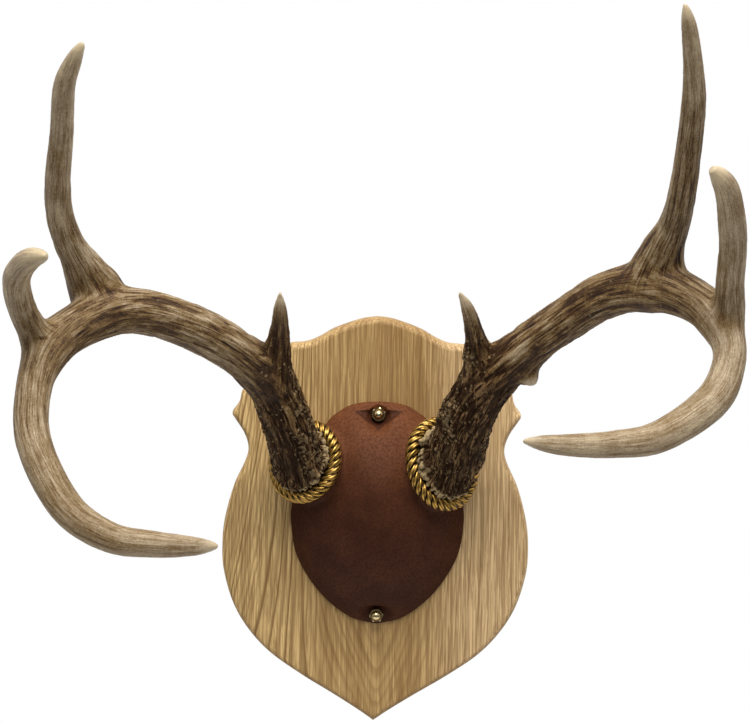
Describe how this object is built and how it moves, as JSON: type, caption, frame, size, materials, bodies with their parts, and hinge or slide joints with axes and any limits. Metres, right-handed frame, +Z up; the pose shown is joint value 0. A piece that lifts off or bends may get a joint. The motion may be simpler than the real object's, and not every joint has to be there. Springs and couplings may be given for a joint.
{
  "type": "antler mount",
  "caption": "Wall mount of a pair of branched deer antlers rising from a domed leather skull cover with rope trims and cap nuts, on an oak shield plaque",
  "frame": {"origin": "on the flat back of the plaque, halfway up and on its centre line, where it rests on the wall", "axes": "+Y points into the wall, so the mount faces -Y; +Z is up; +X is to the viewer's right"},
  "size_m": [0.5522, 0.3583, 0.6184],
  "materials": {
    "oak": "matte",
    "leather": "satin",
    "antler": "satin",
    "gold_rope": "satin",
    "brass": "gloss"
  },
  "bodies": {
    "root": {"oak_plaque": "oak", "leather_cover": "leather", "antler_left": "antler", "antler_right": "antler", "rope_trim_left": "gold_rope", "rope_trim_right": "gold_rope", "cap_nut_top": "brass", "cap_nut_bottom": "brass"}
  },
  "joints": []
}
